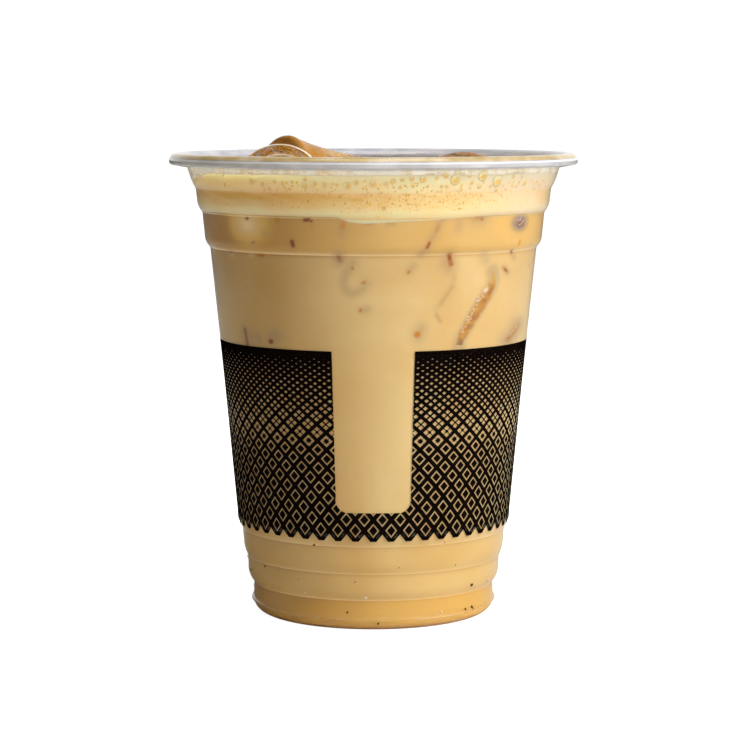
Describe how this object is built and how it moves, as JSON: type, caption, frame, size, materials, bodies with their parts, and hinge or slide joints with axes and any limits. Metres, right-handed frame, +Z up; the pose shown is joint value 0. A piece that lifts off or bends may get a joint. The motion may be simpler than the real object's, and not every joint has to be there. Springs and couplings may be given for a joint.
{
  "type": "iced spanish latte",
  "caption": "Clear tapered take-away cup with a rolled rim and stacking steps, filled with iced milk coffee under a bubbly foam head, with round ice breaking the surface.",
  "frame": {"origin": "middle of the ring the cup stands on, at the surface it stands on", "axes": "+Z up along the cup's axis, -Y the front with the bare panel in the print, +X to the right seen from the front"},
  "size_m": [0.098, 0.098, 0.1149],
  "materials": {
    "cup": "clear thermoformed plastic, smooth, with a dark one-colour print round the wall",
    "latte": "opaque milky coffee seen through the clear wall",
    "foam": "pale milk foam full of fine bubbles",
    "ice": "melting ice stained by coffee, wet"
  },
  "bodies": {
    "root": {"cup": "cup", "latte": "latte", "foam": "foam", "ice_front": "ice", "ice_back": "ice", "ice_right": "ice"}
  },
  "joints": []
}
